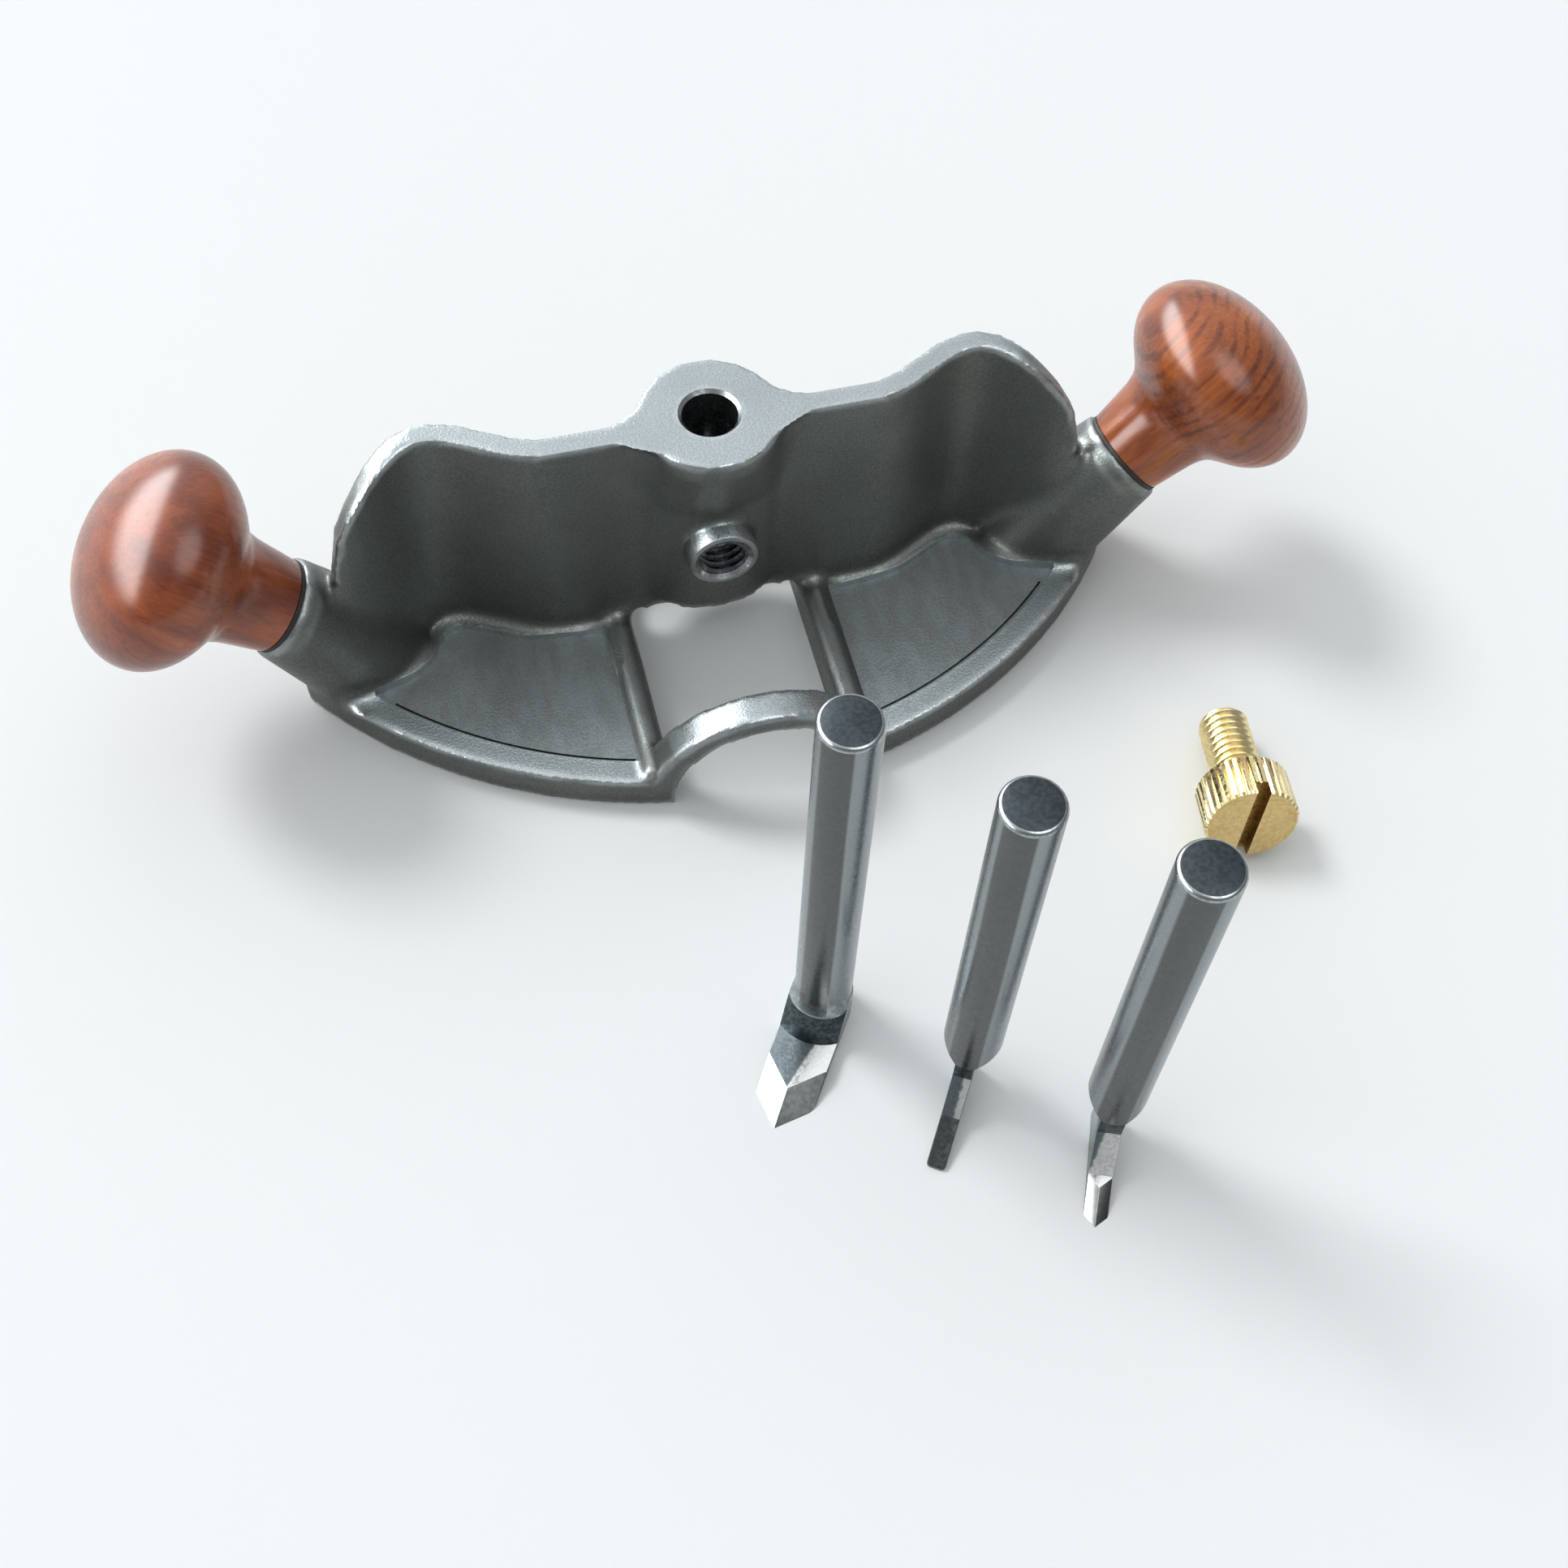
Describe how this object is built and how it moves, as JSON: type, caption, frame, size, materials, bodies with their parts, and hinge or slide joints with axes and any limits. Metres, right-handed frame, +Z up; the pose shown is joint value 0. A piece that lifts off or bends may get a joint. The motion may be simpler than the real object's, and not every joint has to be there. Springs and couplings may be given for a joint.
{
  "type": "hand router plane",
  "caption": "Hand router plane with a curved cast wall and sole, angled wooden knobs and an arched throat; its cutters and knurled brass clamp screw stand beside it.",
  "frame": {"origin": "middle of the cutter bore's mouth, on the flat top of its boss", "axes": "+X along the wall to the right, +Y to the rear, +Z up out of the cutter bore"},
  "size_m": [0.2172, 0.1504, 0.0867],
  "materials": {
    "cast_metal": "bead-blasted grey casting with worn bright edges",
    "knob_wood": "satin red-brown hardwood",
    "insert_brass": "plain turned brass",
    "stud_steel": "plain steel",
    "washer_fibre": "black fibre",
    "cutter_steel": "polished shanks with ground bevels",
    "screw_brass": "bright turned and knurled brass"
  },
  "bodies": {
    "plane_body": {"body_casting": "cast_metal", "left_knob_stud": "stud_steel", "right_knob_stud": "stud_steel"},
    "left_washer": {"left_knob_washer": "washer_fibre"},
    "left_knob": {"left_knob": "knob_wood", "left_knob_insert": "insert_brass"},
    "right_washer": {"right_knob_washer": "washer_fibre"},
    "right_knob": {"right_knob": "knob_wood", "right_knob_insert": "insert_brass"},
    "spear_cutter": {"spear_cutter": "cutter_steel"},
    "square_cutter": {"square_cutter": "cutter_steel"},
    "point_cutter": {"point_cutter": "cutter_steel"},
    "clamp_screw": {"clamp_screw": "screw_brass"}
  },
  "joints": [
    {"name": "left_knob_travel", "type": "slide", "parent": "plane_body", "child": "left_washer", "axis": [-0.7448, 0.0981, 0.66], "range_m": [0, 0.01201]},
    {"name": "left_knob_turn", "type": "hinge", "parent": "left_washer", "child": "left_knob", "pos_m": [-0.0765, -0.0038, -0.0257], "axis": [-0.7448, 0.0981, 0.66], "range_deg": [0, 4320]},
    {"name": "right_knob_travel", "type": "slide", "parent": "plane_body", "child": "right_washer", "axis": [0.7448, 0.0981, 0.66], "range_m": [0, 0.01201]},
    {"name": "right_knob_turn", "type": "hinge", "parent": "right_washer", "child": "right_knob", "pos_m": [0.0765, -0.0038, -0.0257], "axis": [0.7448, 0.0981, 0.66], "range_deg": [0, 4320]},
    {"name": "spear_cutter_lift", "type": "slide", "parent": "plane_body", "child": "spear_cutter", "axis": [0, 0, 1], "range_m": [0, 0.1]},
    {"name": "square_cutter_lift", "type": "slide", "parent": "plane_body", "child": "square_cutter", "axis": [0, 0, 1], "range_m": [0, 0.1]},
    {"name": "point_cutter_lift", "type": "slide", "parent": "plane_body", "child": "point_cutter", "axis": [0, 0, 1], "range_m": [0, 0.1]},
    {"name": "clamp_screw_lift", "type": "slide", "parent": "plane_body", "child": "clamp_screw", "axis": [0, 0, 1], "range_m": [0, 0.1]}
  ],
  "couplings": [
    {"joint": "left_knob_travel", "follows": "left_knob_turn", "m_per_rad": 0.00015915},
    {"joint": "right_knob_travel", "follows": "right_knob_turn", "m_per_rad": 0.00015915}
  ]
}
